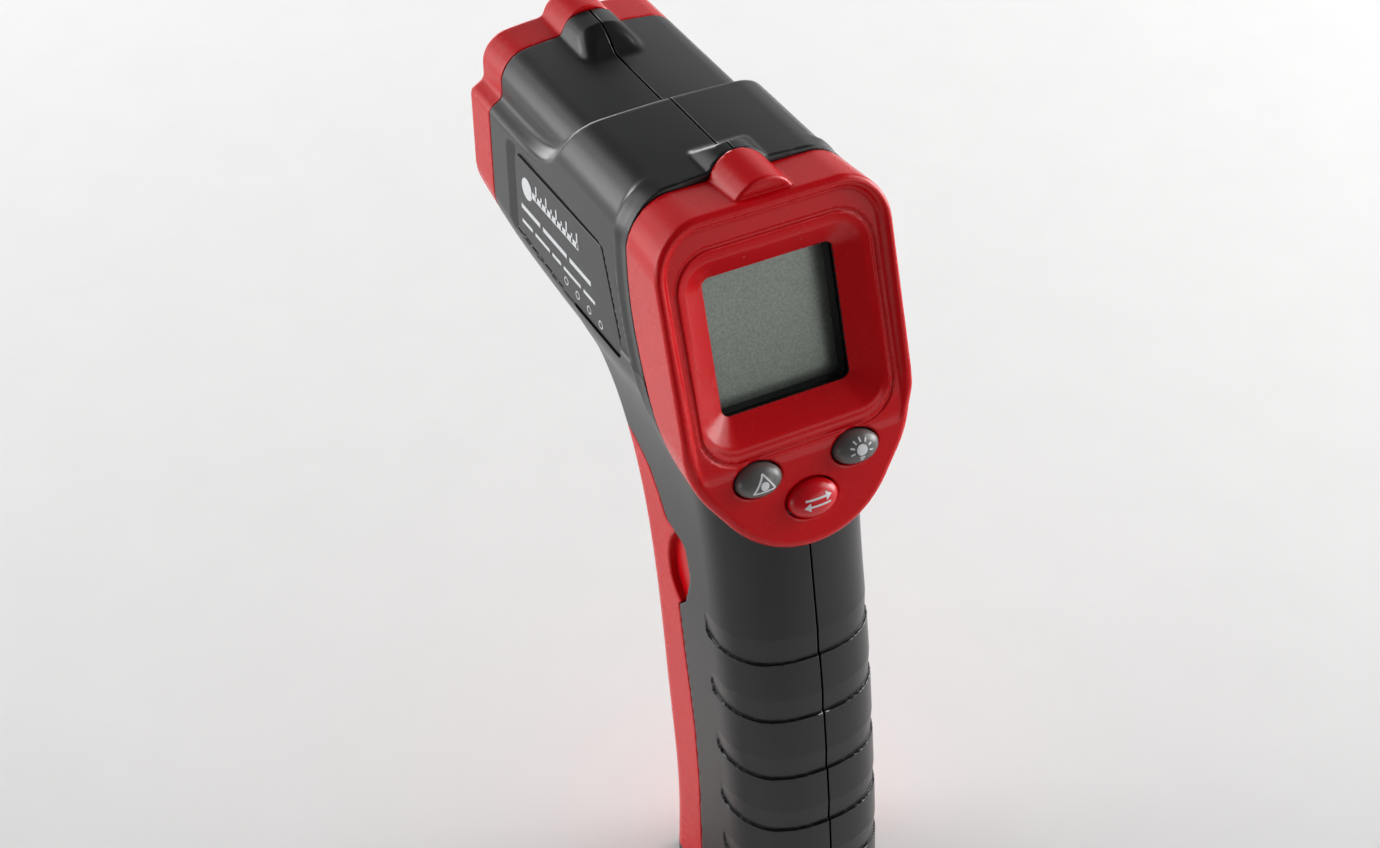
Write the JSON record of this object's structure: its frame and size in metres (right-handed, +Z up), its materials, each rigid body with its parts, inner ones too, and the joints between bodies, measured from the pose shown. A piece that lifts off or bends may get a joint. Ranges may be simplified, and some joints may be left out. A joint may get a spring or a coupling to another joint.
{
  "type": "infrared thermometer",
  "caption": "Pistol-grip infrared thermometer with a leaning square display, domed keys, a trigger, two-tone casings and a hinged battery door in the grip.",
  "frame": {"origin": "middle of the handle's flat foot", "axes": "+Z up, +Y towards the nose, X across; the display faces back along -Y"},
  "size_m": [0.043, 0.1008, 0.153],
  "materials": {
    "casing_black": "fine satin moulded ABS",
    "shell_red": "satin moulded ABS",
    "trigger_black": "satin moulded ABS",
    "front_black": "gloss moulded plastic",
    "label_film": "printed film",
    "clear_window": "clear acrylic",
    "lcd": "grey-green reflective display",
    "backlight_white": "white moulded frame",
    "board_green": "solder-masked glass fibre",
    "key_grey": "satin silicone key",
    "key_red": "gloss silicone key",
    "mat_rubber": "silicone rubber",
    "steel": "plated steel",
    "component_black": "moulded component body",
    "cell_sleeve": "plain printed battery sleeve",
    "tray_black": "moulded tray",
    "lens_white": "milky infrared lens",
    "laser_brass": "turned brass",
    "lens_red": "tinted clear window"
  },
  "bodies": {
    "casing": {"left_casing": "casing_black", "right_casing": "casing_black", "display_bezel": "shell_red", "nose_ring": "shell_red", "nose_plate": "front_black", "label_left": "label_film", "label_right": "label_film", "casing_screws": "steel", "lcd_window": "clear_window", "display_spacer": "front_black", "lcd_panel": "lcd", "backlight": "backlight_white", "main_board": "board_green", "board_screws": "steel", "tact_switches": "component_black", "keypad_mat": "mat_rubber", "controller_chip": "component_black", "buzzer": "component_black", "trigger_pin": "steel", "trigger_spring": "steel", "trigger_switch": "component_black", "door_hinge_pin": "steel", "battery_left": "cell_sleeve", "battery_right": "cell_sleeve", "battery_tray": "tray_black", "contact_springs": "steel", "contact_plates": "steel", "sensor_tube": "tray_black", "infrared_lens": "lens_white", "thermopile": "steel", "sensor_board": "board_green", "optics_bracket": "tray_black", "laser_module": "laser_brass", "laser_window": "lens_red"},
    "trigger": {"trigger": "trigger_black"},
    "battery_door": {"battery_door": "shell_red"},
    "laser_button": {"laser_button": "key_grey"},
    "light_button": {"light_button": "key_grey"},
    "unit_button": {"unit_button": "key_red"}
  },
  "joints": [
    {"name": "battery_door_hinge", "type": "hinge", "parent": "casing", "child": "battery_door", "pos_m": [0, 0.016, 0.0085], "axis": [-1, 0, 0], "range_deg": [0, 75]},
    {"name": "trigger_pull", "type": "hinge", "parent": "casing", "child": "trigger", "pos_m": [0, 0.036, 0.1023], "axis": [-1, 0, 0], "range_deg": [0, 7], "stiffness_Nm_per_rad": 0.3, "springref_deg": -2.86, "deforming": ["trigger_spring"]},
    {"name": "laser_button_press", "type": "slide", "parent": "casing", "child": "laser_button", "axis": [0, 0.9516, -0.3074], "range_m": [0, 0.0008], "stiffness_N_per_m": 1200, "springref_m": -0.0004},
    {"name": "light_button_press", "type": "slide", "parent": "casing", "child": "light_button", "axis": [0, 0.9516, -0.3074], "range_m": [0, 0.0008], "stiffness_N_per_m": 1200, "springref_m": -0.0004},
    {"name": "unit_button_press", "type": "slide", "parent": "casing", "child": "unit_button", "axis": [0, 0.9516, -0.3074], "range_m": [0, 0.0008], "stiffness_N_per_m": 1200, "springref_m": -0.0004}
  ]
}
